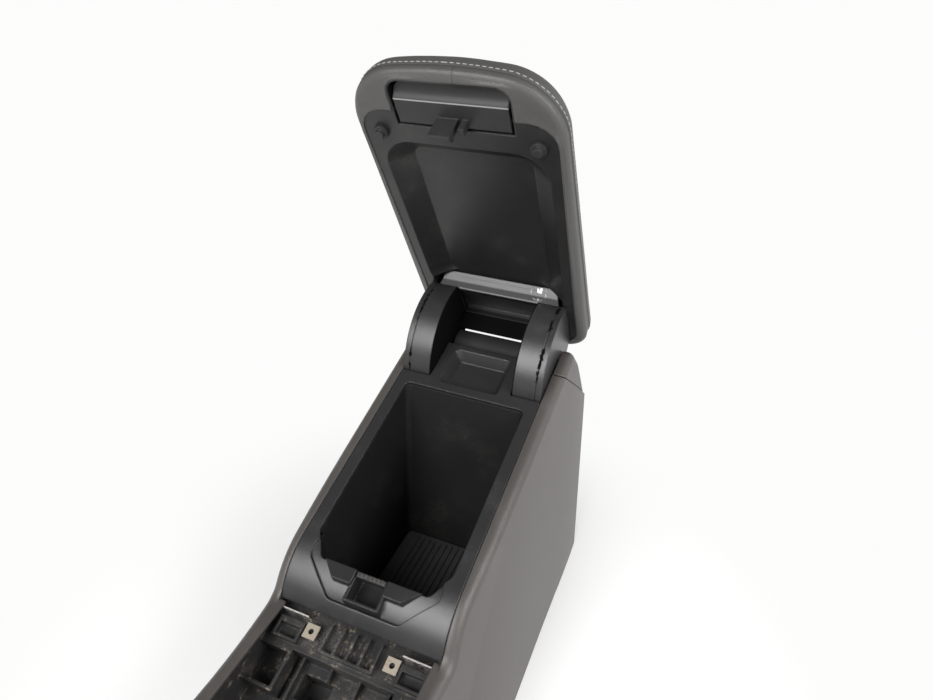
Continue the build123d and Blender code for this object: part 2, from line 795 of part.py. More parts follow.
nut_seat = shelf_top + nut_boss_height
nut_places = [(side * nut_x, -nut_v, nut_seat) for side in (-1, 1)]
fixing_places = [
    (side * fixing_spacing_x / 2, end * fixing_spacing_y / 2, 0) for side in (-1, 1) for end in (-1, 1)
]
with BuildPart() as carrier_frame:
    extrude(panel_outline(carrier_inner, panel_wall + fit_gap, 0), amount=carrier_wall)
    add(flare_block(panel_side_wall + fit_gap), mode=Mode.INTERSECT)
    add(plan_prism(deck, ledge_plan, ledge_top - ledge_wall, ledge_top))
    add(shelf_box(socket_inner, socket_outer, socket_rear, socket_front, shelf_top - over, shelf_top + socket_height))
    add(
        shelf_box(
            socket_inner + socket_wall,
            socket_outer - socket_wall,
            socket_rear + 2 * socket_wall,
            socket_front - socket_wall,
            shelf_top - over,
            shelf_top + socket_height + over,
        ),
        mode=Mode.SUBTRACT,
    )
    add(shelf_box(pocket_inner, web_reach, shelf_front - over, pocket_front, shelf_top - pocket_depth, shelf_top))
    add(
        shelf_box(
            pocket_inner + ledge_wall,
            carrier_inner,
            shelf_front + ledge_wall,
            pocket_front - ledge_wall,
            shelf_top - pocket_depth + ledge_wall,
            shelf_top + over,
        ),
        mode=Mode.SUBTRACT,
    )
    add(plan_prism(Plane.YZ, pedestal_outline, pedestal_half - ledge_wall, pedestal_half))
    mirror(about=Plane.YZ)
    shelf_plan = mirrored([(web_reach, -shelf_rear + shelf_back), (web_reach, -shelf_front)])
    add(plan_prism(deck, shelf_plan, shelf_top - ledge_wall, shelf_top))
    lower_top = shelf_top - lower_drop
    lower_front = shelf_front + lower_length
    step_plan = mirrored([(web_reach, -shelf_front + ledge_wall), (web_reach, -shelf_front)])
    add(plan_prism(deck, step_plan, lower_top - ledge_wall, shelf_top))
    lower_plan = mirrored([(web_reach, -shelf_front), (web_reach, -lower_front)])
    add(plan_prism(deck, lower_plan, lower_top - ledge_wall, lower_top))
    with BuildSketch(deck.offset(lower_top)):
        with Locations((0, -(shelf_front + lower_front) / 2)):
            with GridLocations(lower_rib_pitch, 1, lower_rib_count, 1):
                Rectangle(lower_rib, lower_length)
    extrude(amount=lower_rib_height)
    window_rear = shelf_front + window_setback
    window_plan = [
        (-window_inner, -window_rear),
        (-window_outer, -window_rear),
        (-window_outer, -window_rear - window_length),
        (-window_inner, -window_rear - window_length),
    ]
    add(plan_prism(deck, window_plan, lower_top - window_depth - ledge_wall, lower_top))
    hollow_plan = [
        (-window_inner - ledge_wall, -window_rear - ledge_wall),
        (-window_outer + ledge_wall, -window_rear - ledge_wall),
        (-window_outer + ledge_wall, -window_rear - window_length + ledge_wall),
        (-window_inner - ledge_wall, -window_rear - window_length + ledge_wall),
    ]
    add(plan_prism(deck, hollow_plan, lower_top - window_depth, shelf_top), mode=Mode.SUBTRACT)
    with BuildSketch(deck.offset(shelf_top)):
        with Locations((0, -(beam_rear + beam_front) / 2)):
            with GridLocations(beam_pitch, 1, beam_rib_count, 1):
                Rectangle(beam_wall, beam_front - beam_rear)
        with Locations((0, -beam_front)):
            Rectangle(beam_pitch * (beam_rib_count - 1) + beam_wall, beam_wall)
    extrude(amount=beam_height)
    for place in nut_places:
        with BuildSketch(deck.offset(shelf_top)):
            with Locations(place[:2]):
                Circle(nut_boss_radius)
        extrude(amount=nut_boss_height)
    add(rods(deck, nut_places, -deck.z_dir, nut_hole, nut_boss_height + 2 * ledge_wall), mode=Mode.SUBTRACT)
    seat_plan = mirrored([(pedestal_half, pedestal_rear), (pedestal_half, pedestal_front)])
    add(plan_prism(deck, seat_plan, bracket_seat - ledge_wall, bracket_seat))
    add(rods(deck, bracket_screw_places, -deck.z_dir, bracket_screw_radius + fit_gap / 3, below), mode=Mode.SUBTRACT)
    add(floor_plate(-fixing_spacing_y / 2 - foot_length / 2, -fixing_spacing_y / 2 + foot_length / 2))
    add(floor_plate(fixing_spacing_y / 2 - foot_length / 2, foot_rear))
    wall_front = front_y + panel_wall + fit_gap
    wall_plan = mirrored([(web_reach, wall_front + ledge_wall), (web_reach, wall_front)])
    add(plan_prism(Plane.XY, wall_plan, 0, cross_wall_height))
    add(rods(Plane.XY, fixing_places, (0, 0, 1), fixing_radius, 2 * foot_wall), mode=Mode.SUBTRACT)
    for side in (-1, 1):
        web_places = [(side * (carrier_inner - over), y, z) for y, z in panel_screw_places]
        web_hole = panel_screw_radius + fit_gap / 3
        add(rods(Plane.XY, web_places, (side, 0, 0), web_hole, 2 * carrier_wall), mode=Mode.SUBTRACT)

with BuildPart() as right_trim_clip:
    add(shelf_box(clip_inner, clip_outer, clip_rear, clip_rear + clip_sheet, shelf_top, shelf_top + clip_height))
    clip_middle = (clip_inner + clip_outer) / 2
    add(
        shelf_box(
            clip_middle - clip_gap_half,
            clip_middle + clip_gap_half,
            clip_rear - over,
            clip_rear + 2 * clip_sheet,
            shelf_top - over,
            shelf_top + clip_height / 2,
        ),
        mode=Mode.SUBTRACT,
    )
trim_clips = Compound(children=[right_trim_clip.part, mirror(right_trim_clip.part, about=Plane.YZ)])

with BuildPart() as right_spring_nut:
    with BuildSketch(deck.offset(nut_seat)):
        with Locations((nut_x, -nut_v)):
            Rectangle(nut_size, nut_size)
            Circle(nut_hole, mode=Mode.SUBTRACT)
    extrude(amount=nut_sheet)
spring_nuts = Compound(children=[right_spring_nut.part, mirror(right_spring_nut.part, about=Plane.YZ)])


# Hinge: bracket with two ears on the pedestal, bushes, pin, washers and rings
def hinge_ring(frame, outer, inner, low, high):
    """Ring about the hinge pin between two places across."""
    return hinge_cylinder(frame, outer, low, high) - hinge_cylinder(frame, inner, low, high)


def pair(piece):
    """A right-hand piece with its mirror image, as two solids."""
    return Compound(children=[piece, mirror(piece, about=Plane.YZ)])


ear_outer = ear_inner + ear_wall
bush_end = ear_outer + bush_flange
washer_start = bush_end + running_clearance
ring_start = washer_start + washer_thickness + running_clearance
bush_bore = pin_radius + running_clearance
with BuildPart() as hinge_bracket:
    ear_foot = [
        (hinge_back - bracket_half_length, bracket_seat),
        (hinge_back + bracket_half_length, bracket_seat),
        (hinge_back + hub_radius, -hinge_drop),
        (hinge_back - hub_radius, -hinge_drop),
    ]
    add(side_prism(deck, ear_foot, ear_inner, ear_outer))
    add(hinge_cylinder(deck, hub_radius, ear_inner, ear_outer))
    mirror(about=Plane.YZ)
    base_rear = hinge_back + bracket_half_length
    base_plan = mirrored([(ear_outer, base_rear), (ear_outer, base_rear - 2 * bracket_half_length)])
    add(plan_prism(deck, base_plan, bracket_seat, bracket_seat + ear_wall))
    add(hinge_cylinder(deck, bush_radius + running_clearance, -ear_outer, ear_outer), mode=Mode.SUBTRACT)
    add(rods(deck, bracket_screw_places, -deck.z_dir, bracket_screw_radius + fit_gap / 3, below), mode=Mode.SUBTRACT)
hinge_bracket_screws = rods(
    deck,
    bracket_screw_places,
    -deck.z_dir,
    bracket_screw_radius,
    bracket_screw_length,
    bracket_head_radius,
    bracket_head,
)
right_bush = hinge_ring(deck, bush_radius, bush_bore, ear_inner, ear_outer)
right_bush = right_bush + hinge_ring(deck, bush_flange_radius, bush_bore, ear_outer, bush_end)
hinge_bushes = pair(right_bush)
friction_washers = pair(
    hinge_ring(deck, washer_radius, pin_radius + fit_gap, washer_start, washer_start + washer_thickness)
)
retaining_clips = pair(
    hinge_ring(lid, ring_radius, pin_radius + running_clearance / 2, ring_start, ring_start + ring_thickness)
)
hinge_pin = hinge_cylinder(lid, pin_radius, -pin_half, pin_half)


# Steel arms from the pin to the lid's core
arm_screw_places = [
    (side * arm_screw_x, v, steel_foot_top - steel_arm_wall) for side in (-1, 1) for v in arm_screw_v
]
with BuildPart() as right_hinge_arm:
    steel_outer = steel_arm_inner + steel_arm_wall
    arm_outline = [
        (steel_foot_front, steel_foot_top),
        (steel_foot_rear, steel_foot_top),
        (steel_foot_rear + 3, rim_height - 1),
        (hinge_back + 3, -hinge_drop + 6),
        (hinge_back - 3, -hinge_drop - 6.5),
        (steel_foot_front + 18, rim_height + 1),
    ]
    add(side_prism(lid, arm_outline, steel_arm_inner, steel_outer))
    add(hinge_cylinder(lid, steel_hub_radius, steel_arm_inner, steel_outer))
    foot_plan = [
        (steel_foot_inner, steel_foot_front),
        (steel_outer, steel_foot_front),
        (steel_outer, steel_foot_rear),
        (steel_foot_inner, steel_foot_rear),
    ]
    add(plan_prism(lid, foot_plan, steel_foot_top - steel_arm_wall, steel_foot_top))
    add(hinge_cylinder(lid, pin_radius + running_clearance / 2, steel_arm_inner, steel_outer), mode=Mode.SUBTRACT)
    add(rods(lid, arm_screw_places, lid.z_dir, arm_screw_radius + fit_gap / 3, below), mode=Mode.SUBTRACT)
left_hinge_arm = mirror(right_hinge_arm.part, about=Plane.YZ)
arm_screw_length = core_top - steel_foot_top + steel_arm_wall - fit_gap
hinge_arm_screws = rods(
    lid, arm_screw_places, lid.z_dir, arm_screw_radius, arm_screw_length, arm_head_radius, arm_head
)


# Curved arm covers, concentric with the pin
def arm_region(x, inset):
    """Arm seen from the side, drawn in by inset: round front, tail, hub and the edge under the lid's rim."""
    start_angle = 180 - degrees(asin((rim_height + hinge_drop) / arm_radius))
    with BuildSketch(across(lid, x)) as region:
        with BuildLine():
            front = CenterArc((hinge_back, -hinge_drop), arm_radius, start_angle, arm_tail_angle - start_angle)
            Polyline(
                front @ 1,
                (hinge_back + 7, -hinge_drop - 8),
                (hinge_back + 8, -hinge_drop + 8),
                (arm_rear, rim_height),
                front @ 0,
            )
        make_face()
        with Locations((hinge_back, -hinge_drop)):
            Circle(hub_radius)
        if inset:
            offset(amount=-inset, mode=Mode.REPLACE)
    return region.sketch


facet_rise = sqrt((facet_low_v - facet_high_v) ** 2 + (facet_high_w - rim_height) ** 2)
facet_foot = lid.from_local_coords((0, facet_low_v, rim_height))
facet_head = lid.from_local_coords((0, facet_high_v, facet_high_w))
facet_plane = Plane(facet_foot, x_dir=(1, 0, 0), z_dir=Vector(1, 0, 0).cross(facet_head - facet_foot))
with BuildPart() as hinge_front_cover:
    arm_span = arm_seam - arm_inner
    cheek_outer = arm_inner + arm_wall
    extrude(arm_region(arm_inner, 0), amount=arm_span)
    extrude(arm_region(cheek_outer, arm_wall), amount=arm_span, mode=Mode.SUBTRACT)
    mouth = [
        (cheek_outer, steel_foot_front),
        (arm_seam, steel_foot_front),
        (arm_seam, arm_rear - arm_wall),
        (cheek_outer, arm_rear - arm_wall),
    ]
    add(plan_prism(lid, mouth, rim_height - 2 * arm_wall, rim_height + 1), mode=Mode.SUBTRACT)
    cheek = [
        (facet_low_v + arm_wall, rim_height - arm_wall),
        (facet_high_v + 2 * arm_wall, pocket_roof),
        (lip_rear, pocket_roof),
        (lip_rear, rim_height - arm_wall),
    ]
    add(side_prism(lid, cheek, arm_inner, cheek_outer))
    mirror(about=Plane.YZ)
    roof_plan = mirrored([(cheek_outer, lip_rear), (cheek_outer, facet_high_v + arm_wall)])
    add(plan_prism(lid, roof_plan, pocket_roof - arm_wall, pocket_roof))
    lip_plan = mirrored([(arm_inner + 1, lip_rear), (arm_inner + 1, lip_rear - arm_wall)])
    add(plan_prism(lid, lip_plan, -pocket_lip, pocket_roof))
    with BuildSketch(facet_plane):
        with BuildLine():
            Polyline(
                (facet_half_low, -arm_wall),
                (facet_half_high, facet_rise),
                (-facet_half_high, facet_rise),
                (-facet_half_low, -arm_wall),
                close=True,
            )
        make_face()
    extrude(amount=-arm_wall)
    add(hinge_cylinder(lid, pin_radius + fit_gap, -arm_seam, arm_seam), mode=Mode.SUBTRACT)

with BuildPart() as right_hinge_side_cover:
    extrude(arm_region(arm_seam + fit_gap, 0), amount=arm_outer - arm_seam - fit_gap)
    extrude(arm_region(arm_seam, arm_wall), amount=arm_outer - arm_wall - arm_seam, mode=Mode.SUBTRACT)
left_hinge_side_cover = mirror(right_hinge_side_cover.part, about=Plane.YZ)


# Lid: stiff core, upholstered pad, dished inner panel and rubber bumpers
def lid_outline(height, inset):
    """Lid seen from above, drawn in by inset, narrower in front and with a bowed front."""
    half = lid_half - inset
    front_half = lid_front_half - inset
    rear = lid_rear - inset
    front = -lid_front + lid_front_bow + inset
    with BuildSketch(lid.offset(height)) as outline:
        with BuildLine():
            ThreePointArc((-front_half, front), (0, -lid_front + inset), (front_half, front))
            Polyline((front_half, front), (half, rear), (-half, rear), (-front_half, front))
        make_face()
        corners = outline.vertices().sort_by(Axis.Y)
        fillet(corners[:2], lid_front_corner - inset)
        fillet(outline.vertices().sort_by(Axis.Y)[-2:], lid_rear_corner - inset)
    return outline.sketch


def inner_outline(height, grow):
    """Inner panel seen from above, with the tongue round the lever's tub."""
    tongue_front = tub_front + panel_sheet + grow
    with BuildSketch(lid.offset(height)) as outline:
        with Locations((0, (inner_rear - inner_front) / 2)):
            RectangleRounded(
                2 * (lid_half - lid_wrap + grow), inner_rear + inner_front + 2 * grow, inner_corner + grow
            )
        with Locations((0, -(tongue_front + pan_front) / 2)):
            Rectangle(2 * (tub_half + panel_sheet + grow), tongue_front - pan_front)
        fillet(outline.vertices().sort_by(Axis.Y)[:2], tub_corner + panel_sheet + grow)
    return outline.sketch


def pan_block(grow, top):
    """Dished pan with sloping walls, from the rim up to top."""
    slant = degrees(atan2(pan_half - pan_floor_half, pan_floor - rim_height))
    rear = well_front + pan_half - pan_floor_half
    with BuildPart() as pan:
        with BuildSketch(lid.offset(rim_height)):
            with Locations((0, (rear - pan_front) / 2)):
                RectangleRounded(2 * (pan_half + grow), rear + pan_front + 2 * grow, pan_corner + grow)
        extrude(amount=top - rim_height, taper=slant)
    return pan.part


def lid_box(half, rear, front, low, high):
    """Box across the lid's middle, between two places along it and two heights."""
    return plan_prism(lid, mirrored([(half, rear), (half, front)]), low, high)


def tub_box(half, rear, front, corner, low, high):
    """Box across the lid's middle with its two front corners rounded."""
    with BuildPart() as box:
        with BuildSketch(lid.offset(low)) as plan:
            with BuildLine():
                Polyline(*mirrored([(half, rear), (half, front)]), close=True)
            make_face()
            fillet(plan.vertices().sort_by(Axis.Y)[:2], corner)
        extrude(amount=high - low)
    return box.part


def lever_rod(radius, low, high):
    """Cylinder about the lever's pin between two places across."""
    with BuildPart() as rod:
        with BuildSketch(across(lid, low)):
            with Locations((-lever_pivot, lever_pivot_height)):
                Circle(radius)
        extrude(amount=high - low)
    return rod.part


core_bottom = rim_height + panel_sheet + 2 * soft_gap
tub_outer = tub_half + panel_sheet
core_plate = pan_floor + panel_sheet + soft_gap
with BuildPart() as lid_core:
    extrude(lid_outline(core_bottom, core_inset), amount=core_top - core_bottom)
    extrude(lid_outline(core_bottom, core_inset + core_wall), amount=core_plate - core_bottom, mode=Mode.SUBTRACT)
    add(lid_box(tub_outer + over, -tub_rear + 2 * panel_sheet, -lid_front, 0, pad_height), mode=Mode.SUBTRACT)
    add(rods(lid, arm_screw_places, lid.z_dir, arm_screw_radius + fit_gap / 3, below), mode=Mode.SUBTRACT)

lid_up = Axis(lid.origin, lid.z_dir)
with BuildPart() as lid_pad:
    extrude(lid_outline(rim_height, 0), amount=pad_height - rim_height)
    fall = [
        (-lid_front, pad_front_height),
        (lid_rear, pad_height),
        (lid_rear, pad_height + above),
        (-lid_front, pad_height + above),
    ]
    add(side_prism(lid, fall, -lid_half, lid_half), mode=Mode.SUBTRACT)
    fillet(lid_pad.faces().sort_by(lid_up)[-1].edges(), lid_crown_radius)
    fillet(lid_pad.faces().sort_by(lid_up)[0].edges(), lid_hem_radius)
    extrude(
        lid_outline(core_bottom - soft_gap, core_inset - soft_gap),
        amount=core_top - core_bottom + 2 * soft_gap,
        mode=Mode.SUBTRACT,
    )
    extrude(inner_outline(0, soft_gap), amount=core_bottom, mode=Mode.SUBTRACT)
    tub_room_front = -tub_front - panel_sheet - soft_gap
    add(
        tub_box(
            tub_outer + soft_gap,
            -tub_rear,
            tub_room_front,
            tub_corner + panel_sheet + soft_gap,
            0,
            tub_roof + panel_sheet + soft_gap,
        ),
        mode=Mode.SUBTRACT,
    )

bumper_places = [(side * bumper_half, -bumper_place) for side in (-1, 1)]
with BuildPart() as lid_inner_panel:
    extrude(inner_outline(rim_height, 0), amount=panel_sheet)
    add(pan_block(panel_sheet, pan_floor + panel_sheet))
    add(lid_box(well_half + panel_sheet, well_rear + panel_sheet, well_front, rim_height, pan_floor + panel_sheet))
    add(
        tub_box(
            tub_outer,
            -tub_rear + panel_sheet,
            -tub_front - panel_sheet,
            tub_corner + panel_sheet,
            rim_height,
            tub_roof + panel_sheet,
        )
    )
    add(pan_block(0, pan_floor), mode=Mode.SUBTRACT)
    add(lid_box(well_half, well_rear, well_front, 0, pan_floor), mode=Mode.SUBTRACT)
    add(tub_box(tub_half, -tub_rear, -tub_front, tub_corner, 0, tub_roof), mode=Mode.SUBTRACT)
    add(lever_rod(latch_pin_radius + running_clearance, -tub_outer, tub_outer), mode=Mode.SUBTRACT)
    add(rods(lid, arm_screw_places, lid.z_dir, arm_screw_radius + fit_gap / 3, below), mode=Mode.SUBTRACT)
    with BuildSketch(lid):
        with Locations(*bumper_places):
            Circle(bumper_hole)
    extrude(amount=pan_floor, mode=Mode.SUBTRACT)

bumpers = []
for place in bumper_places:
    with BuildPart() as bumper:
        for low, high, radius in (
            (fit_gap, rim_height / 2, bumper_tip_radius),
            (rim_height / 2, rim_height, bumper_radius),
            (rim_height, rim_height + panel_sheet + fit_gap, bumper_hole - running_clearance),
        ):
            with BuildSketch(lid.offset(low)):
                with Locations(place):
                    Circle(radius)
            extrude(amount=high - low)
    bumpers.append(bumper.part)
lid_bumpers = Compound(children=bumpers)

# Latch lever: paddle with a finger scoop, lugs on the pin, a hook and a guide prong
lever_face = rim_height + lever_recess
lever_back = lever_face + lever_sheet
hook_face = -keeper_front - keeper_clear
hook_ledge = -keeper_drop - keeper_bar - 2 * fit_gap
with BuildPart() as latch_lever:
    with BuildSketch(across(lid, -lever_half)):
        scoop_middle = -(lever_front + lever_ridge) / 2
        with BuildLine():
            Polyline(
                (-lever_ridge, lever_face),
                (-lever_rear, lever_face),
                (-lever_rear, lever_back),
                (-lever_ridge, lever_back),
            )
            ThreePointArc(
                (-lever_ridge, lever_back),
                (scoop_middle, lever_back + scoop_rise),
                (-lever_front, lever_back + scoop_rise),
            )
            Line((-lever_front, lever_back + scoop_rise), (-lever_front, lever_face + scoop_rise))
            ThreePointArc(
                (-lever_front, lever_face + scoop_rise),
                (scoop_middle, lever_face + scoop_rise),
                (-lever_ridge, lever_face),
            )
        make_face()
    extrude(amount=2 * lever_half)
    lever_corner = tub_corner - lever_side_gap
    add(tub_box(lever_half, -lever_rear, -lever_front, lever_corner, 0, tub_roof), mode=Mode.INTERSECT)
    lug = [
        (-lever_pivot - lever_boss_radius, lever_face + over),
        (-lever_pivot + lever_boss_radius, lever_face + over),
        (-lever_pivot + lever_boss_radius, lever_pivot_height),
        (-lever_pivot - lever_boss_radius, lever_pivot_height),
    ]
    for low in (-lever_half, lever_half - lug_width):
        add(side_prism(lid, lug, low, low + lug_width))
        add(lever_rod(lever_boss_radius, low, low + lug_width))
    hook = [
        (hook_face - hook_wall, lever_face + over),
        (hook_face, lever_face + over),
        (hook_face, hook_ledge),
        (hook_face + hook_barb, hook_ledge),
        (hook_face - hook_barb / 2, -hook_depth),
        (hook_face - hook_wall, -hook_depth),
    ]
    add(side_prism(lid, hook, -hook_left, hook_right))
    prong = [
        (hook_face - hook_wall, lever_face + over),
        (hook_face, lever_face + over),
        (hook_face, hook_ledge + keeper_bar),
        (hook_face - hook_wall, hook_ledge + keeper_bar),
    ]
    add(side_prism(lid, prong, prong_left, prong_right))
    add(lever_rod(latch_pin_radius + running_clearance, -lever_half, lever_half), mode=Mode.SUBTRACT)

latch_pin = lever_rod(latch_pin_radius, -tub_outer + fit_gap, tub_outer - fit_gap)
spring_tip = lever_back + spring_lift
spring_leaf = [
    (-lever_front + spring_seat, tub_roof),
    (-lever_ridge + spring_bend, tub_roof),
    (-lever_pivot - spring_reach, spring_tip + spring_sheet),
    (-lever_pivot - spring_reach + spring_sheet, spring_tip),
    (-lever_ridge + spring_bend - spring_sheet, tub_roof - spring_sheet),
    (-lever_front + spring_seat, tub_roof - spring_sheet),
]
latch_spring = side_prism(lid, spring_leaf, -spring_half, spring_half)

os.makedirs("parts", exist_ok=True)
pieces = {
    "left_side_panel": left_side_panel,
    "right_side_panel": right_side_panel.part,
    "side_panel_screws": side_panel_screws,
    "top_cover": top_cover.part,
    "bin_liner": bin_liner.part,
    "bin_mat": bin_mat.part,
    "liner_screws": liner_screws,
    "latch_keeper": latch_keeper.part,
    "rear_cover": rear_cover.part,
    "carrier_frame": carrier_frame.part,
    "trim_clips": trim_clips,
    "spring_nuts": spring_nuts,
    "hinge_bracket": hinge_bracket.part,
    "hinge_bracket_screws": hinge_bracket_screws,
    "hinge_bushes": hinge_bushes,
    "friction_washers": friction_washers,
    "hinge_pin": hinge_pin,
    "retaining_clips": retaining_clips,
    "left_hinge_arm": left_hinge_arm,
    "right_hinge_arm": right_hinge_arm.part,
    "hinge_arm_screws": hinge_arm_screws,
    "hinge_front_cover": hinge_front_cover.part,
    "left_hinge_side_cover": left_hinge_side_cover,
    "right_hinge_side_cover": right_hinge_side_cover.part,
    "lid_core": lid_core.part,
    "lid_pad": lid_pad.part,
    "lid_inner_panel": lid_inner_panel.part,
    "lid_bumpers": lid_bumpers,
    "latch_lever": latch_lever.part,
    "latch_pin": latch_pin,
    "latch_spring": latch_spring,
}
for name, piece in pieces.items():
    piece.label = name
    export_step(piece, f"parts/{name}.step")
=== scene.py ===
# %% [markdown]
# # A centre console with an armrest lid
# The frame gives every hard piece its place and size. This lesson dresses it: procedural plastics, a stitched
# leather pad over the lid, dust and scuffs, a white sweep and soft light.

# %% Load the frame
import json
import math

import bmesh
import bpy
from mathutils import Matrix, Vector, noise


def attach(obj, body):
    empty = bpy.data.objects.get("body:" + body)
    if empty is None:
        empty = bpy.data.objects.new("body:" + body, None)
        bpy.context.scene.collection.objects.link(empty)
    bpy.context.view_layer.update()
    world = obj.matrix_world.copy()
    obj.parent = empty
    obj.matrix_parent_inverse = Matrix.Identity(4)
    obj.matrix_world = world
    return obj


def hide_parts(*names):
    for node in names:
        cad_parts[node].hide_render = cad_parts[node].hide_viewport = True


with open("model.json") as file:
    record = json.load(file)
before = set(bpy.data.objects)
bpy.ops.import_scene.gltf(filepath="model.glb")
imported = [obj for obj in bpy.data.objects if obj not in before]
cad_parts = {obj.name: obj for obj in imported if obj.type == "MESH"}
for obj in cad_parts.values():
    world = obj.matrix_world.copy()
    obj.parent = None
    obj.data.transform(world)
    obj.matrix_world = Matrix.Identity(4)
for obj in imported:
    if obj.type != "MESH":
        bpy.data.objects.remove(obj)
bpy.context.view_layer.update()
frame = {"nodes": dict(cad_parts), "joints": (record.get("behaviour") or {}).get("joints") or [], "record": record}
nodes = frame["nodes"]
joints = {joint["name"]: joint for joint in frame["joints"]}
slot_of = {piece["node"]: piece["material_slot"] for piece in frame["record"]["subparts"]}
print(f"{len(nodes)} nodes, {len(joints)} joints")

# %% [markdown]
# ## Naming a place on the lid
# The lid is described shut, in the sloping deck's own directions, and then swung open about the hinge pin by the
# joint's whole range. Lengths are in millimetres here and in metres in the scene.

# %% Places on the lid
mm = 0.001
deck_slope = math.radians(16.5)
lean = deck_slope - math.radians(joints["lid_hinge"]["range_deg"][1])
hinge = Vector(joints["lid_hinge"]["pos_m"])
hinge_back = 86
hinge_drop = 28


def lid_point(x, v, w):
    """Point across, rearwards and up from the bin's rear edge on the shut lid, swung open with it."""
    along = (v - hinge_back) * mm
    above = (w + hinge_drop) * mm
    y = along * math.cos(lean) - above * math.sin(lean)
    z = along * math.sin(lean) + above * math.cos(lean)
    return Vector((x * mm, hinge.y + y, hinge.z + z))


lid_up = (lid_point(0, 0, 1) - lid_point(0, 0, 0)).normalized()
lid_ahead = (lid_point(0, -1, 0) - lid_point(0, 0, 0)).normalized()
print("hinge at", [round(c, 3) for c in hinge])

# %% [markdown]
# ## Formulas made of nodes
# A Field wraps a socket. Sums and products of fields become Math nodes, and `node` makes any other kind.


# %% The socket wrapper
class Field:
    """A shader socket that grows nodes when it is used in a formula."""

    def __init__(self, tree, socket):
        self.tree = tree
        self.socket = socket

    def node(self, kind, output=0, settings=None, **inputs):
        """New node of any kind; inputs are named with underscores for spaces."""
        made = self.tree.nodes.new(kind)
        for name, value in (settings or {}).items():
            setattr(made, name, value)
        for name, value in inputs.items():
            self.feed(made.inputs[name.replace("_", " ")], value)
        return Field(self.tree, made.outputs[output])

    def feed(self, socket, value):
        if isinstance(value, Field):
            self.tree.links.new(value.socket, socket)
        else:
            socket.default_value = value

    def math(self, operation, *others):
        made = self.tree.nodes.new("ShaderNodeMath")
        made.operation = operation
        for socket, value in zip(made.inputs, (self, *others)):
            self.feed(socket, value)
        return Field(self.tree, made.outputs[0])

    def __add__(self, other):
        return self.math("ADD", other)

    def __sub__(self, other):
        return self.math("SUBTRACT", other)

    def __mul__(self, other):
        return self.math("MULTIPLY", other)

    def __truediv__(self, other):
        return self.math("DIVIDE", other)

    def __rsub__(self, other):
        return self * -1.0 + other

    def __rtruediv__(self, other):
        return self.math("POWER", -1.0) * other

    __radd__ = __add__
    __rmul__ = __mul__

    def smooth(self, low, high):
        """0 below low, 1 above high and smooth between; low may be the higher of the two."""
        return self.node(
            "ShaderNodeMapRange",
            settings={"interpolation_type": "SMOOTHSTEP"},
            Value=self,
            From_Min=low,
            From_Max=high,
        )

    def noise(self, scale, detail=3.0, rough=0.5):
        return self.node("ShaderNodeTexNoise", Vector=self, Scale=scale, Detail=detail, Roughness=rough)

    def cells(self, scale, feature="F1"):
        return self.node("ShaderNodeTexVoronoi", settings={"feature": feature}, Vector=self, Scale=scale)

    def stretched(self, x, y, z):
        return self.node(
            "ShaderNodeVectorMath", settings={"operation": "MULTIPLY"}, Vector=self
        ).with_second((x, y, z))

    def with_second(self, value):
        self.socket.node.inputs[1].default_value = value
        return self

    def measured(self, operation, value):
        """Number that a vector operation makes of this field and a fixed vector."""
        settings = {"operation": operation}
        return self.node("ShaderNodeVectorMath", output=1, settings=settings, Vector=self).with_second(value)

    def axis(self, name):
        return self.node("ShaderNodeSeparateXYZ", output="XYZ".index(name), Vector=self)

    def near(self, place):
        """Distance in metres from a place in the object's own space."""
        return self.measured("DISTANCE", place)

    def along(self, direction, start):
        """Distance in metres from start along a direction."""
        return self.measured("DOT_PRODUCT", direction) - direction.dot(start)

    def between(self, first, second):
        """Colour that goes from first to second as this field goes from 0 to 1."""
        made = self.tree.nodes.new("ShaderNodeMix")
        made.data_type = "RGBA"
        self.feed(made.inputs[0], self)
        for socket, value in ((made.inputs[6], first), (made.inputs[7], second)):
            self.feed(socket, value if isinstance(value, Field) else (*value, 1.0))
        return Field(self.tree, made.outputs[2])


def new_material(name):
    """Empty principled material with its shader node and a field of the object's coordinates."""
    material = bpy.data.materials.new(name)
    material.use_nodes = True
    tree = material.node_tree
    shader = tree.nodes["Principled BSDF"]
    coords = tree.nodes.new("ShaderNodeTexCoord")
    return material, shader, Field(tree, coords.outputs["Object"])


def fed(place, socket):
    """Field that already feeds a socket."""
    return Field(place.tree, socket.links[0].from_socket)


def painted(place, shader, share, colour):
    """Colour laid over a shader's base colour where share is 1."""
    base = shader.inputs["Base Color"]
    place.feed(base, share.between(fed(place, base), colour))


def mixed_surface(place, shader, share, other):
    """Material surface that goes from the shader to another one as share goes from 0 to 1."""
    blend = place.tree.nodes.new("ShaderNodeMixShader")
    place.feed(blend.inputs[0], share)
    place.tree.links.new(shader.outputs[0], blend.inputs[1])
    place.tree.links.new(other.socket, blend.inputs[2])
    place.tree.links.new(blend.outputs[0], place.tree.nodes["Material Output"].inputs["Surface"])


def relief(place, height, depth, edge=0.0):
    """Normal of a surface with relief of some depth in metres, its sharp edges eased by edge."""
    inputs = {"Height": height, "Strength": 1.0, "Distance": depth}
    if edge:
        inputs["Normal"] = place.node("ShaderNodeBevel", settings={"samples": 4}, Radius=edge)
    return place.node("ShaderNodeBump", **inputs)


print("socket wrapper ready")

# %% [markdown]
# ## Moulded plastics
# All the plastics share one recipe: a colour that drifts, a leathery mould grain of small cells, a thin film of
# dust in patches, and edges eased so that they catch the light.

# %% Plastic recipe
dust_colour = (0.36, 0.34, 0.31)


